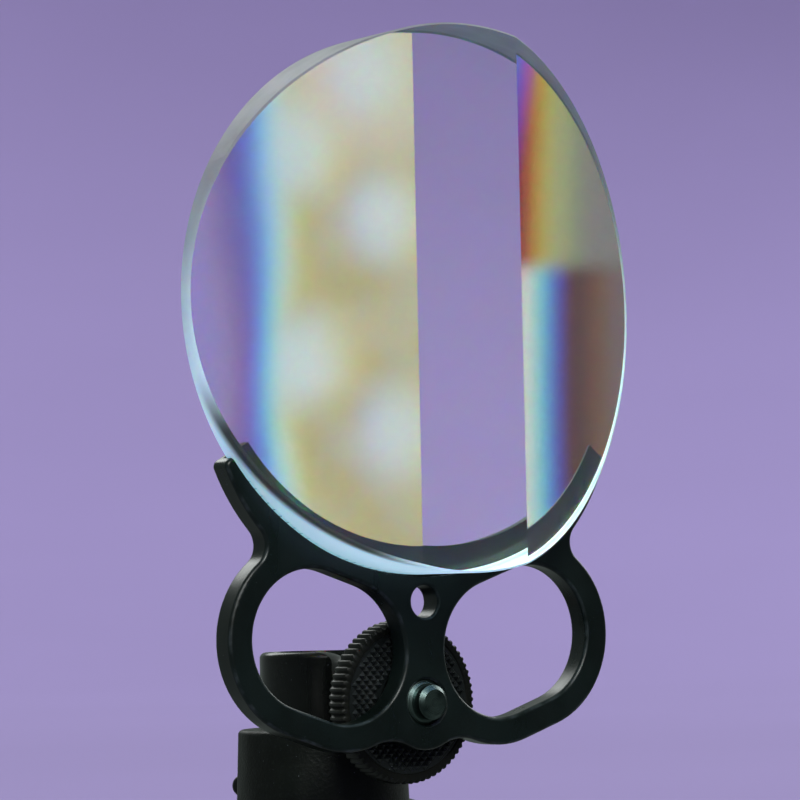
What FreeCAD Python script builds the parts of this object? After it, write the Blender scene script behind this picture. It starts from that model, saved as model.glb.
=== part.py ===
"""Glass effect prism in a two-ring hand holder, screwed to a mini ball head.

Millimetres, +Z up. The origin is the mouth of the tripod thread in the base.
The holder stands upright in front of the head: its flat front faces -Y, and
the ball stem lies level in the notch of the cup and points along -Y.
"""
import FreeCAD, Part
import math
import os

from FreeCAD import Vector

# ---------------------------------------------------------------- dimensions
# Prism glass: a disc with a flat back, a flat strip up the middle of the
# front, and a facet that falls away to a thin edge on each side.
glass_diameter = 76.2
glass_centre_thickness = 14.6
glass_edge_thickness = 2.2
glass_strip_width = 18.0
glass_bevel = 0.25  # on the back edge

# Holder plate.
plate_thickness = 3.8
plate_edge_round = 0.6
seat_depth = 2.5
bond_gap = 0.4
bond_recess = 0.2
ledge_width = 4.3
horn_end_angle = 34.5
ledge_end_angle = 36.0
horn_tip_wall = 1.4
horn_root_angle = 49.4
horn_root_wall = 3.3
horn_back_radius = 30.0
horn_corner_round = 1.0
neck_blend = 3.0
finger_hole_radius = 9.8
finger_hole_spread = 6.1
finger_hole_tilt = 18.7
finger_hole_side = 16.1
finger_hole_rise = 8.2
finger_ring_wall = 3.9
boss_radius = 6.7
boss_blend = 7.0
screw_below_rim = 17.9
lanyard_hole_diameter = 4.6
lanyard_below_rim = 3.8
lanyard_edge_round = 0.4
plate_thread_chamfer = 0.35

# Quarter-inch tripod stud.
stud_diameter = 6.35
stud_fit = 0.05
stud_chamfer = 0.5
stud_tip_diameter = 4.85
stud_tip_length = 1.9
stud_tip_chamfer = 0.6
stud_in_stem = 2.6
stud_pin_diameter = 4.0
stud_pin_length = 4.5

# Lock wheel, its threaded insert and its rubber pad.
wheel_diameter = 23.2
wheel_thickness = 3.5
wheel_to_plate = 0.6
wheel_rib_count = 70
wheel_rib_depth = 0.35
wheel_chamfer = 0.45
wheel_rim_width = 1.5
pad_depth = 1.0
pad_proud = 0.4
pad_hole_diameter = 9.6
insert_diameter = 8.8
insert_length = 2.4

# Ball and stem.
ball_diameter = 14.0
ball_fit = 0.05
neck_diameter = 6.4
stem_wall = 1.225
stem_taper = 1.2
stem_chamfer = 0.5
stem_to_wheel = 0.8
stem_to_collar = 0.75
ball_to_plate_front = 26.4

# Head: cup, collar, seat and base.
ball_height = 33.0
cup_diameter = 17.8
cup_above_ball = 7.1
cup_top_round = 0.9
cup_lip_height = 4.0
cup_mouth_diameter = 14.6
notch_clearance = 0.4
notch_corner_round = 1.7
collar_top_below_ball = 4.1
collar_top_diameter = 24.4
collar_bottom_diameter = 26.2
collar_top_round = 0.7
collar_lip = 1.4
barrel_diameter = 18.9
slip_fit = 0.05
seat_floor = 12.0
seat_spring_height = 1.6
seat_spring_sheet = 0.45
seat_spring_hole = 3.0
seat_wrap_height = 2.5
seat_fit = 0.08

# Lock screw and wing knob, which point away to the back right.
lock_below_ball = 15.5
lock_azimuth = 54.0
lock_screw_diameter = 4.9
lock_screw_fit = 0.05
lock_tip_reach = 2.0
lock_pocket_diameter = 6.2
lock_pocket_drop = 0.2
lock_pocket_gap = 0.4
bush_diameter = 7.2
bush_flange_diameter = 9.6
bush_flange_thickness = 1.0
bush_stand_off = 1.4
washer_diameter = 8.6
washer_thickness = 0.8
knob_gap = 0.3
washer_to_knob = 0.1
knob_hub_diameter = 9.2
knob_length = 8.4
knob_wing_reach = 14.5
knob_wing_tip = 1.7
knob_wing_root = 2.9
knob_wing_depth = 5.0
knob_roll = 10.0
knob_wing_setback = 0.7
knob_cap_diameter = 6.2
knob_cap_thickness = 0.8
knob_grip_on_screw = 6.2

# Base.
base_diameter = 26.6
base_thickness = 4.2
base_edge_round = 0.6
spigot_diameter = 12.0
spigot_height = 4.2
base_insert_diameter = 9.2
base_thread_minor = 5.2
rest_ring_inner = 20.8
rest_ring_outer = 25.2
rest_ring_depth = 1.2
base_screw_count = 3
base_screw_circle = 15.4
base_screw_diameter = 2.5
base_screw_head = 4.4
base_screw_sink = 0.2
base_screw_length = 10.5
base_screw_drive = 1.5

# ------------------------------------------------------------ derived values
glass_radius = glass_diameter / 2
cradle_radius = glass_radius + bond_gap
ledge_radius = cradle_radius - ledge_width
screw_below_glass = glass_radius + screw_below_rim
glass_z = ball_height + screw_below_glass
plate_front = -ball_to_plate_front
plate_back = plate_front + plate_thickness
glass_back = plate_front + seat_depth
wheel_front = plate_back + wheel_to_plate
wheel_back = wheel_front + wheel_thickness
stem_end = wheel_back + stem_to_wheel
stem_diameter = stud_diameter + 2 * stem_wall
stud_root = stem_end + stud_in_stem
ball_radius = ball_diameter / 2
socket_radius = ball_radius + ball_fit
collar_top = ball_height - collar_top_below_ball
cup_top = ball_height + cup_above_ball
lock_z = ball_height - lock_below_ball
seat_bottom = seat_floor + seat_spring_height
bush_outer_end = collar_bottom_diameter / 2 + bush_stand_off
washer_start = bush_outer_end + knob_gap
knob_start = washer_start + washer_thickness
lock_screw_end = knob_start + knob_grip_on_screw
base_insert_top = base_thickness + spigot_height

X = Vector(1, 0, 0)
Y = Vector(0, 1, 0)
Z = Vector(0, 0, 1)
TINY = 0.01


# ------------------------------------------------------------------- helpers
def cylinder(radius, length, start, direction):
    return Part.makeCylinder(radius, length, start, direction)


def along_y(radius, y_start, y_end, z=ball_height, x=0.0):
    """A cylinder on a line parallel to Y, from y_start to y_end."""
    return cylinder(radius, y_end - y_start, Vector(x, y_start, z), Y)


def turned(profile, axis_point=Vector(0, 0, 0), axis=Z):
    """A solid of revolution from a closed profile of points."""
    wire = Part.makePolygon(profile + [profile[0]])
    return Part.Face(wire).revolve(axis_point, axis, 360)


def turned_on_stem(profile):
    """Revolve (y, radius) pairs about the stem's axis."""
    points = [Vector(radius, y, ball_height) for y, radius in profile]
    return turned(points, Vector(0, 0, ball_height), Y)


def turned_upright(profile):
    """Revolve (radius, z) pairs about the head's vertical axis."""
    return turned([Vector(radius, 0, z) for radius, z in profile])


def edges_where(shape, test):
    return [edge for edge in shape.Edges if test(edge)]


def lock_frame(shape):
    """Move a shape built along +X at the origin onto the lock screw's axis."""
    shape.rotate(Vector(0, 0, 0), Z, lock_azimuth)
    shape.translate(Vector(0, 0, lock_z))
    return shape


def on_lock_axis(radius, start, end):
    return lock_frame(cylinder(radius, end - start, Vector(start, 0, 0), X))


def turned_on_lock(profile):
    """Revolve (distance, radius) pairs about the lock screw's axis."""
    points = [Vector(distance, radius, 0) for distance, radius in profile]
    return lock_frame(turned(points, axis=X))


# ---------------------------------------------- holder outline from tangent arcs
# Outline points are (x, z) in the plate's plane, with z above the screw's axis.
def polar(centre, radius, angle):
    return (centre[0] + radius * math.cos(angle), centre[1] + radius * math.sin(angle))


def toward(start, end, distance):
    length = math.dist(start, end)
    step = distance / length
    return (start[0] + (end[0] - start[0]) * step, start[1] + (end[1] - start[1]) * step)


def crossing(centre_a, radius_a, centre_b, radius_b, side):
    """The point at radius_a from centre_a and radius_b from centre_b, on one side."""
    gap = math.dist(centre_a, centre_b)
    along = (gap ** 2 + radius_a ** 2 - radius_b ** 2) / (2 * gap)
    across = side * math.sqrt(radius_a ** 2 - along ** 2)
    ux = (centre_b[0] - centre_a[0]) / gap
    uz = (centre_b[1] - centre_a[1]) / gap
    return (centre_a[0] + along * ux - across * uz, centre_a[1] + along * uz + across * ux)


def in_plate(point, y=plate_front):
    return Vector(point[0], y, point[1] + ball_height)


def arc(centre, start, end, clockwise):
    """An arc about centre from start to end, in the (x, z) plane."""
    radius = math.dist(centre, start)
    first = math.atan2(start[1] - centre[1], start[0] - centre[0])
    last = math.atan2(end[1] - centre[1], end[0] - centre[0])
    turn = (last - first) % (2 * math.pi)
    if clockwise:
        turn -= 2 * math.pi
    middle = polar(centre, radius, first + turn / 2)
    return Part.Arc(in_plate(start), in_plate(middle), in_plate(end)).toShape()


def line(start, end):
    return Part.LineSegment(in_plate(start), in_plate(end)).toShape()


def mirrored(edges):
    return [edge.mirror(Vector(0, 0, 0), X) for edge in edges]


def finger_hole_centres():
    """Outer and inner centres of the right-hand slot's two round ends."""
    middle = (finger_hole_side, finger_hole_rise)
    tilt = math.radians(finger_hole_tilt)
    outer = polar(middle, finger_hole_spread / 2, tilt)
    inner = polar(middle, -finger_hole_spread / 2, tilt)
    return outer, inner


def half_outline():
    """Right half of the plate's outer edge, from the horn's tip to the boss."""
    glass_centre = (0.0, screw_below_glass)
    tip_angle = -math.radians(horn_end_angle)
    root_angle = -math.radians(horn_root_angle)
    tip = polar(glass_centre, cradle_radius + horn_tip_wall, tip_angle)
    root = polar(glass_centre, cradle_radius + horn_root_wall, root_angle)
    horn_centre = crossing(tip, horn_back_radius, root, horn_back_radius, -1)
    outer, inner = finger_hole_centres()
    ring_radius = finger_hole_radius + finger_ring_wall
    neck_centre = crossing(
        horn_centre, horn_back_radius + neck_blend, outer, ring_radius + neck_blend, 1
    )
    neck_start = toward(neck_centre, horn_centre, neck_blend)
    neck_end = toward(neck_centre, outer, neck_blend)
    below = math.radians(finger_hole_tilt) - math.pi / 2
    outer_end = polar(outer, ring_radius, below)
    inner_start = polar(inner, ring_radius, below)
    boss = (0.0, 0.0)
    blend_centre = crossing(
        inner, ring_radius + boss_blend, boss, boss_radius + boss_blend, 1
    )
    blend_start = toward(blend_centre, inner, boss_blend)
    blend_end = toward(blend_centre, boss, boss_blend)
    boss_bottom = (0.0, -boss_radius)
    ledge_angle = -math.radians(ledge_end_angle)
    inside = polar(glass_centre, ledge_radius - ledge_width, ledge_angle)
    return [
        line(inside, tip),
        arc(horn_centre, tip, neck_start, True),
        arc(neck_centre, neck_start, neck_end, False),
        arc(outer, neck_end, outer_end, True),
        line(outer_end, inner_start),
        arc(inner, inner_start, blend_start, True),
        arc(blend_centre, blend_start, blend_end, False),
        arc(boss, blend_end, boss_bottom, True),
    ]


def finger_slot(side, y_start, y_end):
    """The slot for a finger: two round ends and the bar between them."""
    outer, inner = finger_hole_centres()
    tilt = math.radians(finger_hole_tilt)
    up = tilt + math.pi / 2
    corners = [
        polar(outer, finger_hole_radius, up),
        polar(outer, -finger_hole_radius, up),
        polar(inner, -finger_hole_radius, up),
        polar(inner, finger_hole_radius, up),
    ]
    edges = [
        arc(outer, corners[0], corners[1], True),
        line(corners[1], corners[2]),
        arc(inner, corners[2], corners[3], True),
        line(corners[3], corners[0]),
    ]
    if side < 0:
        edges = mirrored(edges)
    face = Part.Face(Part.Wire(Part.sortEdges(edges)[0]))
    face.translate(Vector(0, y_start - plate_front, 0))
    return face.extrude(Vector(0, y_end - y_start, 0))


# -------------------------------------------------------------- prism holder
def prism_disc():
    half_strip = glass_strip_width / 2
    edge_front = glass_back - glass_edge_thickness
    strip_front = glass_back - glass_centre_thickness
    reach = glass_radius
    profile = [
        Vector(-reach, glass_back, 0),
        Vector(reach, glass_back, 0),
        Vector(reach, edge_front, 0),
        Vector(half_strip, strip_front, 0),
        Vector(-half_strip, strip_front, 0),
        Vector(-reach, edge_front, 0),
    ]
    face = Part.Face(Part.makePolygon(profile + [profile[0]]))
    face.translate(Vector(0, 0, glass_z - glass_radius - 1))
    roof = face.extrude(Vector(0, 0, glass_diameter + 2))
    points = [
        Vector(0, strip_front - 1, glass_z),
        Vector(glass_radius, strip_front - 1, glass_z),
        Vector(glass_radius, glass_back - glass_bevel, glass_z),
        Vector(glass_radius - glass_bevel, glass_back, glass_z),
        Vector(0, glass_back, glass_z),
    ]
    return roof.common(turned(points, Vector(0, 0, glass_z), Y))


def is_horn_corner(edge):
    """True for the straight edge through the plate at the outside of a horn's tip."""
    first = edge.Vertexes[0].Point
    last = edge.Vertexes[-1].Point
    through = abs(first.x - last.x) < TINY and abs(first.z - last.z) < TINY
    reach = math.hypot(first.x, first.z - glass_z)
    return through and cradle_radius < reach < cradle_radius + horn_tip_wall + TINY


def handle():
    half = half_outline()
    left = mirrored(half)
    top = Part.LineSegment(half[0].Vertexes[0].Point, left[0].Vertexes[0].Point)
    edges = half + left + [top.toShape()]
    face = Part.Face(Part.Wire(Part.sortEdges(edges)[0]))
    plate = face.extrude(Vector(0, plate_thickness, 0))
    tips = edges_where(plate, is_horn_corner)
    plate = plate.makeFillet(horn_corner_round, tips)
    for side in (-1, 1):
        plate = plate.cut(finger_slot(side, plate_front - 1, plate_back + 1))
    level = glass_z - math.sin(math.radians(ledge_end_angle)) * (ledge_radius - ledge_width)
    flat_edges = edges_where(
        plate,
        lambda e: abs(e.Vertexes[0].Point.y - e.Vertexes[-1].Point.y) < TINY
        and e.BoundBox.ZMin < level - TINY,
    )
    plate = plate.makeFillet(plate_edge_round, flat_edges)
    plate = plate.cut(along_y(cradle_radius, plate_front - 1, glass_back, glass_z))
    plate = plate.cut(along_y(ledge_radius, plate_front - 1, plate_back + 1, glass_z))
    lanyard_z = glass_z - glass_radius - lanyard_below_rim
    lanyard = along_y(lanyard_hole_diameter / 2, plate_front - 1, plate_back + 1, lanyard_z)
    plate = plate.cut(lanyard)
    hole_edges = edges_where(
        plate,
        lambda e: abs(e.Length - math.pi * lanyard_hole_diameter) < TINY
        and abs(e.BoundBox.Center.z - lanyard_z) < TINY,
    )
    plate = plate.makeFillet(lanyard_edge_round, hole_edges)
    bore = stud_diameter / 2 + stud_fit
    wide = bore + plate_thread_chamfer
    thread = turned_on_stem([
        (plate_front - 1, 0),
        (plate_front - 1, wide + 1),
        (plate_front, wide),
        (plate_front + plate_thread_chamfer, bore),
        (plate_back - plate_thread_chamfer, bore),
        (plate_back, wide),
        (plate_back + 1, wide + 1),
        (plate_back + 1, 0),
    ])
    return plate.cut(thread)


def cradle_bond():
    """The bead of adhesive between the glass's rim and the cradle."""
    front = plate_front + bond_recess
    ring = along_y(cradle_radius, front, glass_back, glass_z)
    ring = ring.cut(along_y(glass_radius, front - 1, glass_back + 1, glass_z))
    corners = []
    for angle in (-ledge_end_angle - 1, -180 + ledge_end_angle + 1):
        turn = math.radians(angle)
        corners.append(
            Vector(
                2 * cradle_radius * math.cos(turn),
                front - 1,
                glass_z + 2 * cradle_radius * math.sin(turn),
            )
        )
    centre = Vector(0, front - 1, glass_z)
    low = Vector(0, front - 1, glass_z - 4 * cradle_radius)
    sector = Part.Face(Part.makePolygon([centre, corners[0], low, corners[1], centre]))
    return ring.common(sector.extrude(Vector(0, seat_depth + 2, 0)))


# --------------------------------------------------------- stud, wheel, ball
def stud():
    """The threaded stud, with a thin pin at its root and a plain tip."""
    radius = stud_diameter / 2
    tip = stud_tip_diameter / 2
    pin = stud_pin_diameter / 2
    nose = plate_front - stud_tip_length
    return turned_on_stem([
        (stud_root + stud_pin_length, 0),
        (stud_root + stud_pin_length, pin),
        (stud_root, pin),
        (stud_root, radius - stud_chamfer),
        (stud_root - stud_chamfer, radius),
        (plate_front + stud_chamfer, radius),
        (plate_front, radius - stud_chamfer),
        (plate_front, tip),
        (nose + stud_tip_chamfer, tip),
        (nose, tip - stud_tip_chamfer),
        (nose, 0),
    ])


def lock_wheel():
    crest = wheel_diameter / 2
    valley = crest - wheel_rib_depth
    points = []
    for index in range(2 * wheel_rib_count):
        radius = crest if index % 2 == 0 else valley
        angle = math.pi * index / wheel_rib_count
        points.append(
            Vector(radius * math.cos(angle), wheel_front, ball_height + radius * math.sin(angle))
        )
    star = Part.Face(Part.makePolygon(points + [points[0]]))
    ribbed = star.extrude(Vector(0, wheel_thickness, 0))
    bore = insert_diameter / 2
    land = bore + wheel_chamfer
    pocket = crest - wheel_rim_width
    blank = turned_on_stem([
        (wheel_front, pocket),
        (wheel_front, crest - wheel_chamfer),
        (wheel_front + wheel_chamfer, crest),
        (wheel_back - wheel_chamfer, crest),
        (wheel_back, crest - wheel_chamfer),
        (wheel_back, land),
        (wheel_back - wheel_chamfer, bore),
        (wheel_front + pad_depth, bore),
        (wheel_front + pad_depth, pocket),
    ])
    return ribbed.common(blank)


def wheel_insert():
    bore = stud_diameter / 2 + stud_fit
    outer = insert_diameter / 2
    start = wheel_front + pad_depth
    return turned_on_stem([
        (start, bore),
        (start, outer),
        (start + insert_length - stud_fit, outer),
        (start + insert_length, outer - stud_fit),
        (start + insert_length, bore),
    ])


def grip_pad():
    outer = wheel_diameter / 2 - wheel_rim_width
    return turned_on_stem([
        (wheel_front - pad_proud, pad_hole_diameter / 2),
        (wheel_front - pad_proud, outer),
        (wheel_front + pad_depth, outer),
        (wheel_front + pad_depth, pad_hole_diameter / 2),
    ])


def ball_stem():
    neck = neck_diameter / 2
    wide = stem_diameter / 2
    taper_end = -collar_top_diameter / 2 - stem_to_collar
    ball = Part.makeSphere(ball_radius, Vector(0, 0, ball_height))
    stem = turned_on_stem([
        (0, 0),
        (0, neck),
        (taper_end, neck),
        (taper_end - stem_taper, wide),
        (stem_end + stem_chamfer, wide),
        (stem_end, wide - stem_chamfer),
        (stem_end, 0),
    ])
    socket = along_y(stud_diameter / 2, stem_end - 1, stud_root)
    pin_hole = along_y(stud_pin_diameter / 2, stem_end - 1, stud_root + stud_pin_length)
    return ball.fuse(stem).cut(socket).cut(pin_hole).removeSplitter()


# ---------------------------------------------------------------------- head
def notch_cutter():
    """The way out of the cup for the level stem, with rounded top corners."""
    half = neck_diameter / 2 + notch_clearance
    reach = cup_diameter
    slot = along_y(half, -reach, 0)
    above = cup_above_ball + 1
    slot = slot.fuse(
        Part.makeBox(2 * half, reach, above, Vector(-half, -reach, ball_height))
    )
    corner = notch_corner_round
    for side in (-1, 1):
        block = Part.makeBox(
            corner,
            reach,
            corner + 1,
            Vector(min(side * half, side * (half + corner)), -reach, cup_top - corner),
        )
        block = block.cut(
            along_y(corner, -reach - 1, 1, cup_top - corner, side * (half + corner))
        )
        slot = slot.fuse(block)
    return slot


def housing():
    cup = cup_diameter / 2
    barrel = barrel_diameter / 2
    lip_top = ball_height + cup_lip_height
    lip = math.sqrt(socket_radius ** 2 - cup_lip_height ** 2)
    mouth = cup_mouth_diameter / 2
    shoulder = collar_top - collar_lip
    outside = turned_upright([
        (0, base_thickness),
        (barrel, base_thickness),
        (barrel, shoulder),
        (cup, shoulder),
        (cup, cup_top),
        (0, cup_top),
    ])
    top_edge = edges_where(
        outside,
        lambda e: abs(e.BoundBox.ZMin - cup_top) < TINY and e.BoundBox.XMax > cup - TINY,
    )
    outside = outside.makeFillet(cup_top_round, top_edge)
    hollow = turned_upright([
        (0, seat_floor),
        (socket_radius, seat_floor),
        (socket_radius, ball_height),
        (0, ball_height),
    ])
    hollow = hollow.fuse(Part.makeSphere(socket_radius, Vector(0, 0, ball_height)))
    hollow = hollow.fuse(turned_upright([
        (0, lip_top),
        (lip, lip_top),
        (mouth, cup_top),
        (mouth, cup_top + 1),
        (0, cup_top + 1),
    ]))
    body = outside.cut(hollow)
    body = body.cut(notch_cutter())
    spigot_bore = spigot_diameter / 2 + slip_fit
    spigot_depth = spigot_height + slip_fit
    body = body.cut(cylinder(spigot_bore, spigot_depth, Vector(0, 0, base_thickness), Z))
    body = body.cut(on_lock_axis(bush_diameter / 2, 0, cup_diameter))
    for place in base_screw_places():
        length = base_screw_length + base_screw_sink
        body = body.cut(cylinder(base_screw_diameter / 2, length, place, Z))
    return body


def collar():
    """The grained sleeve around the barrel, which widens towards the base."""
    outer_top = collar_top_diameter / 2
    outer_bottom = collar_bottom_diameter / 2
    cup = cup_diameter / 2 + slip_fit
    barrel = barrel_diameter / 2 + slip_fit
    shoulder = collar_top - collar_lip
    sleeve = turned_upright([
        (barrel, base_thickness),
        (outer_bottom, base_thickness),
        (outer_top, collar_top),
        (cup, collar_top),
        (cup, shoulder),
        (barrel, shoulder),
    ])
    top_edge = edges_where(
        sleeve,
        lambda e: abs(e.BoundBox.ZMin - collar_top) < TINY
        and e.BoundBox.XMax > outer_top - TINY,
    )
    sleeve = sleeve.makeFillet(collar_top_round, top_edge)
    return sleeve.cut(on_lock_axis(bush_diameter / 2, 0, collar_bottom_diameter))


def ball_seat():
    """The plastic seat under the ball, with the pocket that the lock screw lifts."""
    top = ball_height - ball_radius + seat_wrap_height
    seat = cylinder(socket_radius - seat_fit, top - seat_bottom, Vector(0, 0, seat_bottom), Z)
    seat = seat.cut(Part.makeSphere(ball_radius + seat_fit, Vector(0, 0, ball_height)))
    pocket = lock_pocket_diameter / 2
    apex = lock_tip_reach - lock_pocket_gap
    cutter = turned_on_lock([
        (apex, 0),
        (apex + pocket, pocket),
        (cup_diameter, pocket),
        (cup_diameter, 0),
    ])
    cutter.translate(Vector(0, 0, -lock_pocket_drop))
    return seat.cut(cutter)


def seat_spring():
    """A folded spring washer that keeps the seat against the ball."""
    outer = socket_radius - 2 * seat_fit
    inner = seat_spring_hole
    middle = seat_floor + seat_spring_height / 2
    sheet = seat_spring_sheet
    return turned_upright([
        (inner, seat_floor),
        (outer, middle - sheet),
        (outer, middle + sheet),
        (inner, seat_bottom),
        (inner, seat_bottom - sheet),
        (outer - sheet, middle),
        (inner, seat_floor + sheet),
    ])


def lock_bush():
    bore = lock_screw_diameter / 2 + lock_screw_fit
    flange = bush_outer_end - bush_flange_thickness
    bush = turned_on_lock([
        (0, bore),
        (0, bush_diameter / 2),
        (flange, bush_diameter / 2),
        (flange, bush_flange_diameter / 2),
        (bush_outer_end, bush_flange_diameter / 2),
        (bush_outer_end, bore),
    ])
    return bush.cut(cylinder(socket_radius, ball_height, Vector(0, 0, 0), Z))


def lock_screw():
    radius = lock_screw_diameter / 2
    return turned_on_lock([
        (lock_tip_reach, 0),
        (lock_tip_reach + radius, radius),
        (lock_screw_end - stud_chamfer, radius),
        (lock_screw_end, radius - stud_chamfer),
        (lock_screw_end, 0),
    ])


def knob_washer():
    bore = lock_screw_diameter / 2 + lock_screw_fit
    return turned_on_lock([
        (washer_start, bore),
        (washer_start, washer_diameter / 2),
        (knob_start - washer_to_knob, washer_diameter / 2),
        (knob_start - washer_to_knob, bore),
    ])


def lock_knob():
    hub = knob_hub_diameter / 2
    end = knob_start + knob_length
    shape = cylinder(hub, knob_length, Vector(knob_start, 0, 0), X)
    wing_start = end - knob_wing_depth - knob_wing_setback
    for side in (-1, 1):
        tip = side * (knob_wing_reach - knob_wing_tip)
        root = cylinder(knob_wing_root, knob_wing_depth, Vector(wing_start, 0, 0), X)
        end_round = cylinder(knob_wing_tip, knob_wing_depth, Vector(wing_start, tip, 0), X)
        lean = (knob_wing_root - knob_wing_tip) / abs(tip)
        rise = math.sqrt(1 - lean ** 2)
        corners = [
            Vector(wing_start, side * lean * knob_wing_root, rise * knob_wing_root),
            Vector(wing_start, tip + side * lean * knob_wing_tip, rise * knob_wing_tip),
            Vector(wing_start, tip + side * lean * knob_wing_tip, -rise * knob_wing_tip),
            Vector(wing_start, side * lean * knob_wing_root, -rise * knob_wing_root),
        ]
        blade = Part.Face(Part.makePolygon(corners + [corners[0]]))
        blade = blade.extrude(Vector(knob_wing_depth, 0, 0))
        shape = shape.fuse(root.fuse(end_round).fuse(blade))
    shape = shape.removeSplitter()
    cap_floor = Vector(end - knob_cap_thickness, 0, 0)
    shape = shape.cut(
        cylinder(lock_screw_diameter / 2, knob_grip_on_screw, Vector(knob_start, 0, 0), X)
    )
    shape = shape.cut(cylinder(knob_cap_diameter / 2, knob_cap_thickness, cap_floor, X))
    shape.rotate(Vector(0, 0, 0), X, knob_roll)
    return lock_frame(shape)


def knob_cap():
    end = knob_start + knob_length
    return on_lock_axis(knob_cap_diameter / 2, end - knob_cap_thickness, end)


# ---------------------------------------------------------------------- base
def base_screw_places():
    """Where the base screws' axes meet the underside, clear of the lock screw."""
    places = []
    for index in range(base_screw_count):
        angle = math.radians(lock_azimuth + 360 * (index + 0.5) / base_screw_count)
        radius = base_screw_circle / 2
        places.append(Vector(radius * math.cos(angle), radius * math.sin(angle), 0))
    return places


def base_screw_at(place, head_radius, shank_radius, underside):
    cone = head_radius - shank_radius
    profile = [
        (0, underside),
        (head_radius, underside),
        (head_radius, base_screw_sink),
        (shank_radius, base_screw_sink + cone),
        (shank_radius, base_screw_length),
        (0, base_screw_length),
    ]
    screw = turned_upright(profile)
    screw.translate(place)
    return screw


def base_disc():
    outer = base_diameter / 2
    disc = cylinder(outer, base_thickness, Vector(0, 0, 0), Z)
    rounds = edges_where(disc, lambda e: type(e.Curve).__name__ == "Circle")
    disc = disc.makeFillet(base_edge_round, rounds)
    disc = disc.fuse(cylinder(spigot_diameter / 2, base_insert_top, Vector(0, 0, 0), Z))
    disc = disc.cut(cylinder(base_insert_diameter / 2, base_insert_top + 1, Vector(0, 0, 0), Z))
    ring = cylinder(rest_ring_outer / 2, rest_ring_depth, Vector(0, 0, 0), Z)
    ring = ring.cut(cylinder(rest_ring_inner / 2, rest_ring_depth, Vector(0, 0, 0), Z))
    disc = disc.cut(ring)
    for place in base_screw_places():
        hole = base_screw_at(place, base_screw_head / 2, base_screw_diameter / 2, -1)
        disc = disc.cut(hole)
    return disc


def base_insert():
    bore = base_thread_minor / 2
    outer = base_insert_diameter / 2
    return turned_upright([
        (bore, 0),
        (outer, 0),
        (outer, base_insert_top),
        (bore, base_insert_top),
    ])


def rest_ring():
    inner = rest_ring_inner / 2
    outer = rest_ring_outer / 2
    return turned_upright([
        (inner, 0),
        (outer, 0),
        (outer, rest_ring_depth),
        (inner, rest_ring_depth),
    ])


def base_screws():
    """Three countersunk screws that hold the base to the barrel."""
    screws = []
    for place in base_screw_places():
        screw = base_screw_at(
            place, base_screw_head / 2, base_screw_diameter / 2, base_screw_sink
        )
        drive = cylinder(
            base_screw_drive / 2, base_screw_drive, place + Vector(0, 0, base_screw_sink), Z
        )
        screws.append(screw.cut(drive))
    return Part.makeCompound(screws)


# --------------------------------------------------------------------- output
NODES = {
    "prism_disc": prism_disc,
    "handle": handle,
    "cradle_bond": cradle_bond,
    "stud": stud,
    "lock_wheel": lock_wheel,
    "wheel_insert": wheel_insert,
    "grip_pad": grip_pad,
    "ball_stem": ball_stem,
    "housing": housing,
    "collar": collar,
    "ball_seat": ball_seat,
    "seat_spring": seat_spring,
    "lock_bush": lock_bush,
    "lock_screw": lock_screw,
    "knob_washer": knob_washer,
    "lock_knob": lock_knob,
    "knob_cap": knob_cap,
    "base_disc": base_disc,
    "base_insert": base_insert,
    "rest_ring": rest_ring,
    "base_screws": base_screws,
}


def main():
    os.makedirs("parts", exist_ok=True)
    for name, build in NODES.items():
        shape = build()
        if not shape.isValid():
            raise RuntimeError(name + " is not a valid solid")
        shape.exportStep("parts/" + name + ".step")
        box = shape.BoundBox
        print(
            f"{name}: {len(shape.Solids)} solid(s), {shape.Volume:.1f} mm3, "
            f"x {box.XMin:.2f} {box.XMax:.2f}  y {box.YMin:.2f} {box.YMax:.2f}  "
            f"z {box.ZMin:.2f} {box.ZMax:.2f}"
        )


main()
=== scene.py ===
"""Looks of the hand-held glass effect prism and its mini ball head, round the packed frame."""
import math

import bmesh
import bpy
from bpy.props import FloatProperty, FloatVectorProperty, IntProperty, PointerProperty
from mathutils import Matrix, Quaternion, Vector


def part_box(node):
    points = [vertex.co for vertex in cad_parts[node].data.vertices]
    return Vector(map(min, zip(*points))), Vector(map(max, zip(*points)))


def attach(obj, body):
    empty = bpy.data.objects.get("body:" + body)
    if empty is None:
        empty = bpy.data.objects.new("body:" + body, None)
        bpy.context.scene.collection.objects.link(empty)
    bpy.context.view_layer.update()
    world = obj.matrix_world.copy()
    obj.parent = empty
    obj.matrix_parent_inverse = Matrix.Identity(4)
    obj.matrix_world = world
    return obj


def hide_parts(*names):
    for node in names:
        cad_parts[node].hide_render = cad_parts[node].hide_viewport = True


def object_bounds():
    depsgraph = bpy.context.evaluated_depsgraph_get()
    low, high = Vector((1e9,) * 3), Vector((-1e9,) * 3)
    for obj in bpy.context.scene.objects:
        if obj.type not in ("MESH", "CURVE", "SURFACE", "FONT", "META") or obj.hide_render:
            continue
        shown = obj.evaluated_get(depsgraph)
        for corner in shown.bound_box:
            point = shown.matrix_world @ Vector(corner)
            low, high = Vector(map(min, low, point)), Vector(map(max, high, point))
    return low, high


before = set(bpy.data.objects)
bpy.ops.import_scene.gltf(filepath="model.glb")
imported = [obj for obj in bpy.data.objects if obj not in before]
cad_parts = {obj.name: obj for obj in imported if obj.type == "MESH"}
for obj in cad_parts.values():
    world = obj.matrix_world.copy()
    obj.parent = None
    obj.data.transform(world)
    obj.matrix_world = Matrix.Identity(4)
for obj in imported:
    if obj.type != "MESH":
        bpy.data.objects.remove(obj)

CAD_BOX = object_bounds()

bl_info = {
    "name": "Glass effect prism",
    "version": (1, 0, 0),
    "blender": (4, 5, 0),
    "location": "3D View > Sidebar > Prism",
    "description": "Finishes a hand-held glass effect prism on its mini ball head",
    "category": "Object",
}

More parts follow.
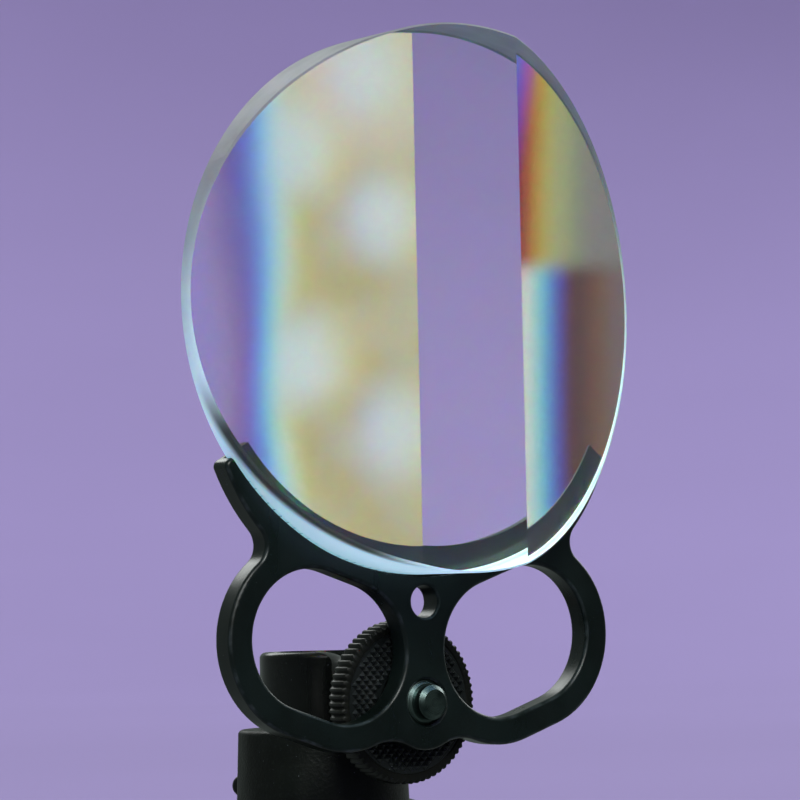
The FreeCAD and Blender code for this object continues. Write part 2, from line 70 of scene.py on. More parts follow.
MM = 0.001
FULL_TURN = 2 * math.pi
HEAD_AXIS = Vector((0.0, 0.0, 0.0))
STUD_AXIS = Vector((0.0, 0.0, 0.5 * (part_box("stud")[0].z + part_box("stud")[1].z)))
ACROSS_STUD = (1.0, 0.0, 1.0)
ACROSS_HEAD = (1.0, 1.0, 0.0)
BLACK = (0.0, 0.0, 0.0)
DUST_COLOUR = (0.16, 0.19, 0.18)


# ------------------------------------------------------------------ settings
class StageSettings(bpy.types.PropertyGroup):
    """Camera, cove, sky and cards"""

    azimuth: FloatProperty(
        name="Camera azimuth",
        description="Direction the camera looks from, round the vertical",
        default=math.radians(-35.634),
        subtype="ANGLE",
    )
    elevation: FloatProperty(
        name="Camera elevation",
        description="Height angle of the camera above the aim point",
        default=math.radians(-3.218),
        subtype="ANGLE",
    )
    roll: FloatProperty(
        name="Camera roll",
        description="Turn of the camera about its own line of sight",
        default=math.radians(-1.193),
        subtype="ANGLE",
    )
    distance: FloatProperty(
        name="Camera distance",
        description="From the camera to the aim point",
        default=0.48447,
        unit="LENGTH",
    )
    aim: FloatVectorProperty(
        name="Aim point",
        description="Point on the holder's front plane at the middle of the view",
        default=(-0.003637, -0.0264, 0.075345),
        subtype="TRANSLATION",
    )
    lens: FloatProperty(
        name="Lens",
        description="Focal length on a 36 mm sensor, in millimetres",
        default=155.61,
        unit="CAMERA",
    )
    cove_colour: FloatVectorProperty(
        name="Cove colour",
        description="Colour of the floor and the wall it sweeps up into",
        default=(0.335, 0.265, 0.515),
        size=3,
        subtype="COLOR",
    )
    cove_radius: FloatProperty(
        name="Cove radius",
        description="From the object to where the floor begins to sweep up",
        default=1.1,
        unit="LENGTH",
    )
    cove_sweep: FloatProperty(
        name="Cove sweep",
        description="Radius of the curve that carries the floor up into the wall",
        default=2.6,
        unit="LENGTH",
    )
    cove_wall: FloatProperty(
        name="Cove wall",
        description="Height of the top of the wall above the floor",
        default=3.4,
        unit="LENGTH",
    )
    sky_colour: FloatVectorProperty(
        name="Sky colour",
        description="Colour of the dim sky that the gloss reflects",
        default=(0.84, 1.0, 0.93),
        size=3,
        subtype="COLOR",
    )
    sky_front: FloatProperty(
        name="Sky strength in front",
        description="Brightness of the sky on the camera's side",
        default=0.09,
    )
    sky_back: FloatProperty(
        name="Sky strength behind",
        description="Brightness of the sky behind the object",
        default=0.26,
    )
    card_distance: FloatProperty(
        name="Card distance",
        description="From the glass to the coloured cards that only the facets show",
        default=1.5,
        unit="LENGTH",
    )
    card_height: FloatProperty(
        name="Card height",
        description="Height of the middle of the cards",
        default=0.22,
        unit="LENGTH",
    )
    card_reach: FloatProperty(
        name="Card reach",
        description="Half the width and half the height of a card",
        default=0.19,
        unit="LENGTH",
    )
    left_card: FloatProperty(
        name="Left card azimuth",
        description="Direction of the card that the left facet shows, from +Y towards +X",
        default=math.radians(51.0),
        subtype="ANGLE",
    )
    right_card: FloatProperty(
        name="Right card azimuth",
        description="Direction of the card that the right facet shows, from +Y towards +X",
        default=math.radians(18.7),
        subtype="ANGLE",
    )
    card_colour: FloatVectorProperty(
        name="Card edge colour",
        description="Colour of the cards beyond their patches, as bright as the lit cove",
        default=(0.285, 0.230, 0.545),
        size=3,
        subtype="COLOR",
    )


class GlassSettings(bpy.types.PropertyGroup):
    """Shape and optics of the glass"""

    strip_width: FloatProperty(
        name="Strip width",
        description="Width of the flat strip up the middle of the front",
        default=18.0 * MM,
        unit="LENGTH",
    )
    edge_thickness: FloatProperty(
        name="Edge thickness",
        description="Thickness of the glass where each facet runs out at the side",
        default=2.2 * MM,
        unit="LENGTH",
    )
    bevel: FloatProperty(
        name="Bevel",
        description="Width of the ground bevel on the sharp outer edges",
        default=0.28 * MM,
        unit="LENGTH",
    )
    bond_line: FloatProperty(
        name="Bond line",
        description="Gap between the back of the glass and the ledge it is bonded to",
        default=0.05 * MM,
        unit="LENGTH",
    )
    index: FloatProperty(
        name="Refractive index",
        description="Index in the middle of the spectrum",
        default=1.52,
    )
    dispersion: FloatProperty(
        name="Dispersion",
        description="Difference of index from red to violet",
        default=0.024,
    )
    bands: IntProperty(
        name="Spectrum bands",
        description="Number of bands that the spectrum is split into",
        default=6,
        min=3,
    )
    tint: FloatVectorProperty(
        name="Tint",
        description="Colour that thick glass takes on",
        default=(0.66, 0.92, 0.84),
        size=3,
        subtype="COLOR",
    )
    rim_upper: FloatVectorProperty(
        name="Upper rim colour",
        description="Colour of the ground rim away from the cradle",
        default=(0.30, 0.33, 0.32),
        size=3,
        subtype="COLOR",
    )
    # Painted light: the lower rim's colour is made brighter, standing for light led through the glass.
    rim_lower_painted_light: FloatVectorProperty(
        name="Lower rim colour",
        description="Colour of the ground rim near the cradle, where it is bright",
        default=(0.74, 0.95, 0.98),
        size=3,
        subtype="COLOR",
    )
    # Painted glow: an emission on the lower rim that stands for light led through the glass; the rim is no
    # lamp.
    rim_painted_glow: FloatVectorProperty(
        name="Rim glow",
        description="Light that leaves the lower rim after it was led through the glass",
        default=(0.20, 0.42, 0.50),
        size=3,
        subtype="COLOR",
    )


class StudSettings(bpy.types.PropertyGroup):
    """Thread and tip of the stud"""

    tip_radius: FloatProperty(
        name="Tip radius",
        description="Radius of the plain tip in front of the thread",
        default=2.425 * MM,
        unit="LENGTH",
    )
    tip_length: FloatProperty(
        name="Tip length",
        description="Length of the plain tip",
        default=1.9 * MM,
        unit="LENGTH",
    )
    tip_chamfer: FloatProperty(
        name="Tip chamfer",
        description="Width of the chamfer on the end of the tip",
        default=0.6 * MM,
        unit="LENGTH",
    )
    thread_chamfer: FloatProperty(
        name="Thread chamfer",
        description="Width of the chamfer where the thread starts",
        default=0.5 * MM,
        unit="LENGTH",
    )
    pitch: FloatProperty(
        name="Pitch",
        description="From one thread to the next, 20 to the inch",
        default=1.27 * MM,
        unit="LENGTH",
    )
    thread_depth: FloatProperty(
        name="Thread depth",
        description="From the crest of the thread to its root",
        default=0.6985 * MM,
        unit="LENGTH",
    )
    steel: FloatVectorProperty(
        name="Steel colour",
        description="Colour of the blackened steel where it is rubbed",
        default=(0.120, 0.165, 0.160),
        size=3,
        subtype="COLOR",
    )


class WheelSettings(bpy.types.PropertyGroup):
    """Ribs, rim and rubber pad of the lock wheel"""

    ribs: IntProperty(
        name="Ribs",
        description="Number of ribs round the rim",
        default=70,
        min=12,
    )
    rib_depth: FloatProperty(
        name="Rib depth",
        description="Depth of the grooves between the ribs",
        default=0.42 * MM,
        unit="LENGTH",
    )
    edge_round: FloatProperty(
        name="Edge round",
        description="Width of the rounding on the rim's two edges",
        default=0.55 * MM,
        unit="LENGTH",
    )
    bore_radius: FloatProperty(
        name="Bore radius",
        description="Radius of the hole that holds the insert",
        default=4.45 * MM,
        unit="LENGTH",
    )
    rim_width: FloatProperty(
        name="Rim width",
        description="Width of the raised rim round the pad",
        default=1.5 * MM,
        unit="LENGTH",
    )
    pocket_depth: FloatProperty(
        name="Pocket depth",
        description="Depth of the pocket that the pad lies in",
        default=1.0 * MM,
        unit="LENGTH",
    )
    pad_bore: FloatProperty(
        name="Pad bore radius",
        description="Radius of the hole in the pad",
        default=4.8 * MM,
        unit="LENGTH",
    )
    point_height: FloatProperty(
        name="Point height",
        description="Height of the pad's pyramids",
        default=0.55 * MM,
        unit="LENGTH",
    )
    point_radius: FloatProperty(
        name="Point radius",
        description="Radius of a pyramid's foot, to its corners",
        default=0.62 * MM,
        unit="LENGTH",
    )
    point_pitch: FloatProperty(
        name="Point pitch",
        description="From one pyramid to the next in its row",
        default=1.3 * MM,
        unit="LENGTH",
    )


class KnobSettings(bpy.types.PropertyGroup):
    """Place and shape of the wing knob on the lock screw's axis"""

    azimuth: FloatProperty(
        name="Lock azimuth",
        description="Direction of the lock screw, from +X round the vertical",
        default=math.radians(54.0),
        subtype="ANGLE",
    )
    roll: FloatProperty(
        name="Roll",
        description="Turn of the wings about the screw at rest",
        default=math.radians(10.0),
        subtype="ANGLE",
    )
    height: FloatProperty(
        name="Height",
        description="Height of the lock screw above the base's underside",
        default=17.5 * MM,
        unit="LENGTH",
    )
    start: FloatProperty(
        name="Start",
        description="From the head's axis to the knob's inner face",
        default=15.6 * MM,
        unit="LENGTH",
    )
    end: FloatProperty(
        name="End",
        description="From the head's axis to the knob's outer face",
        default=24.0 * MM,
        unit="LENGTH",
    )
    hub_radius: FloatProperty(
        name="Hub radius",
        description="Radius of the round middle",
        default=4.6 * MM,
        unit="LENGTH",
    )
    edge_round: FloatProperty(
        name="Edge round",
        description="Radius of the moulded edges",
        default=0.7 * MM,
        unit="LENGTH",
    )
    wing_start: FloatProperty(
        name="Wing start",
        description="From the head's axis to the wings' inner face",
        default=18.3 * MM,
        unit="LENGTH",
    )
    wing_depth: FloatProperty(
        name="Wing depth",
        description="Thickness of the wings along the screw",
        default=5.0 * MM,
        unit="LENGTH",
    )
    wing_reach: FloatProperty(
        name="Wing reach",
        description="From the screw's axis to the end of a wing",
        default=14.5 * MM,
        unit="LENGTH",
    )
    wing_root: FloatProperty(
        name="Wing root radius",
        description="Half the wings' height at the hub",
        default=2.9 * MM,
        unit="LENGTH",
    )
    wing_tip: FloatProperty(
        name="Wing tip radius",
        description="Radius of the round end of a wing",
        default=1.7 * MM,
        unit="LENGTH",
    )
    cap_radius: FloatProperty(
        name="Cap recess radius",
        description="Radius of the recess that holds the cap",
        default=3.15 * MM,
        unit="LENGTH",
    )
    cap_depth: FloatProperty(
        name="Cap recess depth",
        description="Depth of the recess that holds the cap",
        default=0.8 * MM,
        unit="LENGTH",
    )


class FinishSettings(bpy.types.PropertyGroup):
    """Colours of the paints, plastics, rubbers and bare metals"""

    holder: FloatVectorProperty(
        name="Holder",
        description="Satin paint of the two-ring holder",
        default=(0.0040, 0.0085, 0.0070),
        size=3,
        subtype="COLOR",
    )
    # Painted highlight: a lighter colour for the holder's rounded edges, standing for the light that they
    # catch.
    holder_edge_highlight: FloatVectorProperty(
        name="Holder's rubbed edges",
        description="Paint where fingers have polished the rounded edges",
        default=(0.022, 0.031, 0.029),
        size=3,
        subtype="COLOR",
    )
    wheel: FloatVectorProperty(
        name="Wheel",
        description="Plastic of the lock wheel",
        default=(0.0060, 0.0070, 0.0050),
        size=3,
        subtype="COLOR",
    )
    pad: FloatVectorProperty(
        name="Pad",
        description="Rubber of the wheel's pad",
        default=(0.0075, 0.0105, 0.0100),
        size=3,
        subtype="COLOR",
    )
    cup: FloatVectorProperty(
        name="Cup",
        description="Anodised black of the cup",
        default=(0.0035, 0.0048, 0.0038),
        size=3,
        subtype="COLOR",
    )
    ball: FloatVectorProperty(
        name="Ball",
        description="Satin black of the ball and its stem",
        default=(0.0055, 0.0065, 0.0060),
        size=3,
        subtype="COLOR",
    )
    collar: FloatVectorProperty(
        name="Collar",
        description="Grained plastic of the collar",
        default=(0.0040, 0.0062, 0.0042),
        size=3,
        subtype="COLOR",
    )
    knob: FloatVectorProperty(
        name="Knob",
        description="Plastic of the wing knob and its cap",
        default=(0.0060, 0.0072, 0.0062),
        size=3,
        subtype="COLOR",
    )
    base: FloatVectorProperty(
        name="Base",
        description="Satin black of the base disc",
        default=(0.0070, 0.0080, 0.0078),
        size=3,
        subtype="COLOR",
    )
    ring: FloatVectorProperty(
        name="Rest ring",
        description="Rubber of the ring under the base",
        default=(0.0130, 0.0130, 0.0135),
        size=3,
        subtype="COLOR",
    )
    acetal: FloatVectorProperty(
        name="Acetal",
        description="Natural white plastic of the seat and the thrust washer",
        default=(0.82, 0.81, 0.78),
        size=3,
        subtype="COLOR",
    )
    brass: FloatVectorProperty(
        name="Brass",
        description="Bare brass of the bush and the tripod thread",
        default=(0.62, 0.42, 0.16),
        size=3,
        subtype="COLOR",
    )
    steel: FloatVectorProperty(
        name="Steel",
        description="Bare steel of the lock screw",
        default=(0.55, 0.55, 0.54),
        size=3,
        subtype="COLOR",
    )


# -------------------------------------------------------- material building
class Finish:
    """A material being built, with its patterns on Object coordinates."""

    def __init__(self, name, **sockets):
        self.material = bpy.data.materials.new(name)
        self.material.use_nodes = True
        self.nodes = self.material.node_tree.nodes
        self.links = self.material.node_tree.links
        self.shader = self.nodes["Principled BSDF"]
        self.output = self.nodes["Material Output"]
        self.place = self.nodes.new("ShaderNodeTexCoord")
        for socket, value in sockets.items():
            self.feed(self.shader, socket.replace("_", " "), value)

    def feed(self, node, socket, value):
        """Sets or links one input of a node."""
        if isinstance(value, bpy.types.NodeSocket):
            self.links.new(value, node.inputs[socket])
        elif node.inputs[socket].type == "RGBA":
            node.inputs[socket].default_value = (*value, 1.0)
        else:
            node.inputs[socket].default_value = value

    def add(self, kind, inputs, **settings):
        """A new node with its settings made and its inputs fed."""
        node = self.nodes.new("ShaderNode" + kind)
        for name, value in settings.items():
            setattr(node, name, value)
        for socket, value in inputs.items():
            self.feed(node, socket, value)
        return node

    def noise(self, scale, detail, stretch=None):
        """Even cloud noise, as a value about one half."""
        place = self.place.outputs["Object"]
        if stretch is not None:
            place = self.add("Mapping", {"Vector": place, "Scale": stretch}).outputs[0]
        sockets = {"Vector": place, "Scale": scale, "Detail": detail}
        return self.add("TexNoise", sockets).outputs["Fac"]

    def rings(self, scale, centre, across):
        """Fine rings about an axis through the centre, as a lathe leaves them."""
        middle = self.add(
            "VectorMath",
            {0: self.place.outputs["Object"], 1: tuple(-v for v in centre)},
            operation="ADD",
        )
        flat = self.add("VectorMath", {0: middle.outputs[0], 1: across}, operation="MULTIPLY")
        radius = self.add("VectorMath", {0: flat.outputs[0]}, operation="LENGTH")
        sockets = {"W": radius.outputs["Value"], "Scale": scale, "Detail": 2.0}
        return self.add("TexNoise", sockets, noise_dimensions="1D").outputs["Fac"]

    def window(self, value, start, end, low=0.0, high=1.0):
        """A value carried from start..end to low..high, and held at the ends."""
        sockets = {
            "Value": value,
            "From Min": start,
            "From Max": end,
            "To Min": low,
            "To Max": high,
        }
        return self.add("MapRange", sockets, interpolation_type="SMOOTHSTEP").outputs[0]

    def math(self, operation, first, second):
        """Arithmetic on two values."""
        return self.add("Math", {0: first, 1: second}, operation=operation).outputs[0]

    def blend(self, factor, first, second):
        """A colour between two colours."""
        node = self.add("Mix", {}, data_type="RGBA")
        self.feed(node, 0, factor)
        self.feed(node, 6, first)
        self.feed(node, 7, second)
        return node.outputs[2]

    def bump(self, height, depth):
        """A bump of a real depth."""
        return self.add("Bump", {"Height": height, "Distance": depth}).outputs["Normal"]


class CardFinish(Finish):
    """The finish of a card, with its own across and up, in metres from the card's middle."""

    def __init__(self, name):
        super().__init__(name)
        split = self.add("SeparateXYZ", {0: self.place.outputs["Object"]})
        self.across, self.up = split.outputs[0], split.outputs[1]

    def distance_to(self, spot):
        """Distance from a place given across and up."""
        offset = (-spot[0], -spot[1], 0.0)
        apart = self.add(
            "VectorMath", {0: self.place.outputs["Object"], 1: offset}, operation="ADD"
        )
        return self.add("VectorMath", {0: apart.outputs[0]}, operation="LENGTH").outputs["Value"]


def toned(colour, share):
    """A colour made darker or lighter by the given share of it."""
    return tuple(share * value for value in colour)


def coated(name, colour, dark_share, roughness, grain, grain_depth, dust=0.0, edge=None, **sockets):
    """A paint, plastic or rubber: clouded colour, grain, dust specks and painted highlights on rounded
    edges.

    The painted edge highlights go where a surface faces partly along Y, as a plate's rounded
    edges do when its two faces look along Y.
    """
    finish = Finish(name, **sockets)
    cloud = finish.window(finish.noise(90.0, 4.0), 0.35, 0.65)
    fine = finish.noise(grain, 2.0)
    crest = finish.window(fine, 0.55, 0.75, 0.0, 0.5)
    shown = finish.blend(cloud, toned(colour, dark_share), colour)
    shown = finish.blend(crest, shown, toned(colour, 2.2))
    # Painted highlight: a lighter colour on the rounded edges, broken into patches by noise, stands for
    # light caught on them.
    if edge is not None:
        facing = finish.add("SeparateXYZ", {0: finish.place.outputs["Normal"]}).outputs[1]
        slope = finish.math("ABSOLUTE", facing, 0.0)
        rounded = finish.math(
            "MULTIPLY",
            finish.window(slope, 0.25, 0.6),
            finish.window(slope, 0.995, 0.9),
        )
        highlight_patches = finish.window(finish.noise(420.0, 4.0), 0.42, 0.66)
        shown = finish.blend(finish.math("MULTIPLY", rounded, highlight_patches), shown, edge)
    if dust:
        speck = finish.window(finish.noise(3600.0, 1.0), 0.80 - dust, 0.83 - dust)
        shown = finish.blend(speck, shown, DUST_COLOUR)
    finish.feed(finish.shader, "Base Color", shown)
    smear = finish.noise(260.0, 5.0, stretch=(1.0, 1.0, 0.35))
    low, high = roughness
    finish.feed(finish.shader, "Roughness", finish.window(smear, 0.3, 0.7, low, high))
    finish.feed(finish.shader, "Normal", finish.bump(fine, grain_depth))
    return finish.material


def turned_metal(name, colour, tarnish, roughness, centre, across):
    """Bare metal with the fine rings of a lathe and a little tarnish."""
    finish = Finish(name, Metallic=1.0)
    stain = finish.window(finish.noise(350.0, 5.0), 0.40, 0.70)
    finish.feed(finish.shader, "Base Color", finish.blend(stain, colour, tarnish))
    ring = finish.rings(9000.0, centre, across)
    low, high = roughness
    finish.feed(finish.shader, "Roughness", finish.window(ring, 0.3, 0.7, low, high))
    finish.feed(finish.shader, "Normal", finish.bump(ring, 0.004 * MM))
    return finish.material


def band_colour(position):
    """Colour of one band of the spectrum, red at 0 and violet at 1, before it is evened out."""
    red = max(0.0, 1.0 - abs(position - 0.10) / 0.36) + 0.25 * max(0.0, (position - 0.8) / 0.2)
    green = max(0.0, 1.0 - abs(position - 0.46) / 0.34)
    blue = max(0.0, 1.0 - abs(position - 0.84) / 0.36)
    return Vector((red, green, blue))


def polished_glass(settings):
    """Clear glass that splits the spectrum: one glass shader for each band of colour."""
    finish = Finish("polished_glass")
    smudge = finish.noise(55.0, 6.0, stretch=(1.0, 1.0, 0.6))
    smear = finish.window(smudge, 0.60, 0.78, 0.0, 0.05)
    positions = [(n + 0.5) / settings.bands for n in range(settings.bands)]
    raw = [band_colour(p) for p in positions]
    total = sum(raw, Vector(BLACK))
    shader = None
    for number, (position, colour) in enumerate(zip(positions, raw)):
        level = tuple(settings.bands * c / t for c, t in zip(colour, total))
        index = settings.index + settings.dispersion * (position - 0.5)
        band = finish.add("BsdfGlass", {"Color": level, "IOR": index, "Roughness": smear})
        if shader is None:
            shader = band.outputs[0]
            continue
        share = 1.0 / (number + 1)
        shader = finish.add("MixShader", {0: share, 1: shader, 2: band.outputs[0]}).outputs[0]
    clear = finish.add("BsdfTransparent", {"Color": (0.93, 0.95, 0.94)})
    ray = finish.add("LightPath", {}).outputs["Is Shadow Ray"]
    shader = finish.add("MixShader", {0: ray, 1: shader, 2: clear.outputs[0]}).outputs[0]
    finish.links.new(shader, finish.output.inputs["Surface"])
    finish.nodes.remove(finish.shader)
    tint = finish.add("VolumeAbsorption", {"Color": settings.tint, "Density": 6.0})
    finish.links.new(tint.outputs[0], finish.output.inputs["Volume"])
    return finish.material


def ground_glass(settings, front, slope, cradle):
    """The fine-ground rim: grey green above, and towards the cradle a brighter colour and a glow, both
    painted light that stands for light led through the glass.

    A painted dark reflection of the cradle darkens the rim low down beside the facets' edges. The facets
    start at the front and fall back by the slope, and the cradle is the height of the rim's lowest point.
    """
    finish = Finish(
        "ground_glass",
        Transmission_Weight=0.30,
        IOR=settings.index,
        Specular_IOR_Level=0.4,
        Emission_Strength=0.7,
    )
    cloud = finish.window(finish.noise(160.0, 5.0), 0.3, 0.7)
    fine = finish.noise(7000.0, 2.0)
    across, back, height = finish.add("SeparateXYZ", {0: finish.place.outputs["Object"]}).outputs
    # Painted light: this mask rises towards the cradle, where the rim gets a brighter colour and a glow that
    # stand for light led through the glass.
    low = finish.window(height, cradle + 59.1 * MM, cradle + 11.1 * MM)
    beside = finish.math("ABSOLUTE", across, 0.0)
    outside = finish.math("SUBTRACT", beside, 0.5 * settings.strip_width)
    fall = finish.math("MULTIPLY", finish.math("MAXIMUM", outside, 0.0), slope)
    behind = finish.math("SUBTRACT", finish.math("SUBTRACT", back, front), fall)
    # Painted reflection: a dark band low on the rim near the front edge stands for the cradle reflected in
    # the ground rim.
    near_front = finish.window(behind, 3.6 * MM, 1.2 * MM)
    off_middle = finish.window(beside, 5.0 * MM, 16.0 * MM)
    near_cradle = finish.window(height, cradle + 29.1 * MM, cradle + 19.1 * MM)
    painted_cradle_reflection = finish.math("MULTIPLY", finish.math("MULTIPLY", near_front, off_middle), near_cradle)
    upper = finish.blend(cloud, toned(settings.rim_upper, 0.75), settings.rim_upper)
    # Painted light: the lower colour, brighter than the upper, stands for light led through the glass.
    lower = finish.blend(cloud, toned(settings.rim_lower_painted_light, 0.92), settings.rim_lower_painted_light)
    # The near-black colour here is the painted dark reflection of the cradle, and it also takes the glow
    # away there.
    colour = finish.blend(painted_cradle_reflection, finish.blend(low, upper, lower), (0.015, 0.022, 0.022))
    finish.feed(finish.shader, "Base Color", colour)
    # Painted glow: the lower rim emits light, standing for light led through the glass and out of the ground
    # rim.
    glow = finish.blend(low, BLACK, settings.rim_painted_glow)
    finish.feed(finish.shader, "Emission Color", finish.blend(painted_cradle_reflection, glow, BLACK))
    finish.feed(finish.shader, "Roughness", finish.window(fine, 0.3, 0.7, 0.50, 0.70))
    finish.feed(finish.shader, "Normal", finish.bump(fine, 0.02 * MM))
    return finish.material


# ----------------------------------------------------------------- mesh work
def bevel_edges(mesh, edges, width, segments):
    """Rounds or chamfers the given edges of a bmesh."""
    bmesh.ops.bevel(
        mesh,
        geom=edges,
        offset=width,
        offset_type="OFFSET",
        segments=segments,
        profile=0.5,
        affect="EDGES",
        material=-1,
    )


def revolve(mesh, outline, steps, centre=STUD_AXIS):
    """Spins a closed outline of (radius, place along Y) round a line along Y."""
    ring = [mesh.verts.new((r, y, centre.z)) for r, y in outline]
    edges = [mesh.edges.new((a, b)) for a, b in zip(ring, ring[1:] + ring[:1])]
    bmesh.ops.spin(
        mesh,
        geom=ring + edges,
        cent=centre,
        axis=(0.0, 1.0, 0.0),
        angle=FULL_TURN,
        steps=steps,
        use_merge=True,
        use_duplicate=False,
    )
    bmesh.ops.remove_doubles(mesh, verts=mesh.verts, dist=1e-7)
    bare = [edge for edge in mesh.edges if not edge.link_faces]
    bmesh.ops.delete(mesh, geom=bare, context="EDGES")


def finished_piece(name, mesh, materials, body, node, smooth_angle=35.0):
    """Writes a bmesh to an object that rides on a body and stands for a CAD node."""
    bmesh.ops.recalc_face_normals(mesh, faces=mesh.faces)
    data = bpy.data.meshes.new(name)
    mesh.to_mesh(data)
    mesh.free()
    for material in materials:
        data.materials.append(material)
    data.shade_smooth()
    data.set_sharp_from_angle(angle=math.radians(smooth_angle))
    piece = bpy.data.objects.new(name, data)
    bpy.context.scene.collection.objects.link(piece)
    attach(piece, body)
    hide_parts(node)
    return piece


def dress(node, material):
    """Gives a CAD node a finish in all its material slots."""
    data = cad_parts[node].data
    if not data.materials:
        data.materials.append(material)
    for number in range(len(data.materials)):
        data.materials[number] = material


# -------------------------------------------------------------------- pieces
class PRISM_OT_glass(bpy.types.Operator):
    """Cuts the glass disc from a round blank, with two facets, a flat strip and a ground rim"""

    bl_idname = "prism.glass"
    bl_label = "Glass disc"

    def execute(self, context):
        settings = context.scene.prism_glass
        low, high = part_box("prism_disc")
        high.y -= settings.bond_line
        centre = 0.5 * (low + high)
        radius = 0.5 * (high.x - low.x)
        mesh = bmesh.new()
        bmesh.ops.create_cone(
            mesh,
            cap_ends=True,
            segments=360,
            radius1=radius,
            radius2=radius,
            depth=high.y - low.y,
            matrix=Matrix.Translation(centre) @ Matrix.Rotation(math.pi / 2, 4, "X"),
        )
        half_strip = 0.5 * settings.strip_width
        if not 0.0 < half_strip < radius:
            raise ValueError("The flat strip has to be narrower than the glass")
        slope = (high.y - low.y - settings.edge_thickness) / (radius - half_strip)
        for side in (-1, 1):
            normal = Vector((side * slope, -1.0, 0.0)).normalized()
            cut = bmesh.ops.bisect_plane(
                mesh,
                geom=mesh.verts[:] + mesh.edges[:] + mesh.faces[:],
                plane_co=(side * half_strip, low.y, 0.0),
                plane_no=normal,
                clear_outer=True,
                dist=1e-7,
            )
            rim = [e for e in cut["geom_cut"] if isinstance(e, bmesh.types.BMEdge)]
            bmesh.ops.contextual_create(mesh, geom=rim)
        mesh.normal_update()
        outer = [e for e in mesh.edges if self.is_outer(e)]
        bevel_edges(mesh, outer, settings.bevel, segments=1)
        mesh.normal_update()
        for face in mesh.faces:
            face.material_index = 0 if self.is_polished(face) else 1
        piece = finished_piece(
            "prism_glass",
            mesh,
            (polished_glass(settings), ground_glass(settings, low.y, slope, low.z)),
            "prism_holder",
            "prism_disc",
        )
        for polygon in piece.data.polygons:
            polygon.use_smooth = polygon.material_index == 1
        return {"FINISHED"}

    def is_polished(self, face):
        """True for the back, the strip and the facets, which have a corner for each rim face."""
        return len(face.verts) > 8

    def is_outer(self, edge):
        """True for an edge between the rim and a polished face."""
        return len({self.is_polished(face) for face in edge.link_faces}) == 2


class PRISM_OT_holder(bpy.types.Operator):
    """Finishes the two-ring holder and the clear bond under the glass"""

    bl_idname = "prism.holder"
    bl_label = "Holder"

    def execute(self, context):
        colours = context.scene.prism_finish
        dress("handle", coated(
            "holder_satin_black",
            colours.holder,
            dark_share=0.58,
            roughness=(0.26, 0.40),
            grain=5200.0,
            grain_depth=0.006 * MM,
            dust=0.005,
            edge=colours.holder_edge_highlight,
            Specular_IOR_Level=0.28,
        ))
        bond = Finish("clear_bond", Transmission_Weight=1.0, IOR=1.48, Roughness=0.12)
        haze = bond.noise(300.0, 4.0)
        bond.feed(bond.shader, "Base Color", bond.blend(haze, (0.86, 0.90, 0.88), (0.97, 0.98, 0.97)))
        bond.feed(bond.shader, "Normal", bond.bump(haze, 0.05 * MM))
        dress("cradle_bond", bond.material)
        return {"FINISHED"}


class PRISM_OT_stud(bpy.types.Operator):
    """Turns the quarter-inch stud, with its thread and its plain tip"""

    bl_idname = "prism.stud"
    bl_label = "Stud"

    def execute(self, context):
        settings = context.scene.prism_stud
        low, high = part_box("stud")
        radius = 0.5 * (high.x - low.x)
        tip, chamfer = settings.tip_radius, settings.tip_chamfer
        if not chamfer < tip < radius:
            raise ValueError("The stud's tip has to be thinner than its thread")
        pitch = settings.pitch
        root = radius - settings.thread_depth
        start = low.y + settings.tip_length
        outline = [(0.0, low.y), (tip - chamfer, low.y), (tip, low.y + chamfer)]
        outline += [(tip, start), (radius - settings.thread_chamfer, start)]
        place = start + settings.thread_chamfer
        while place + pitch < high.y:
            outline += [(radius, place), (radius, place + 0.16 * pitch)]
            outline += [(root, place + 0.5 * pitch), (root, place + 0.66 * pitch)]
            place += pitch
        outline += [(radius, high.y), (0.0, high.y)]
        mesh = bmesh.new()
        revolve(mesh, outline, 96)
        steel = turned_metal(
            "dark_steel", settings.steel, (0.040, 0.058, 0.058), (0.24, 0.42), STUD_AXIS, ACROSS_STUD
        )
        finished_piece("tripod_stud", mesh, (steel,), "ball", "stud", 30.0)
        return {"FINISHED"}


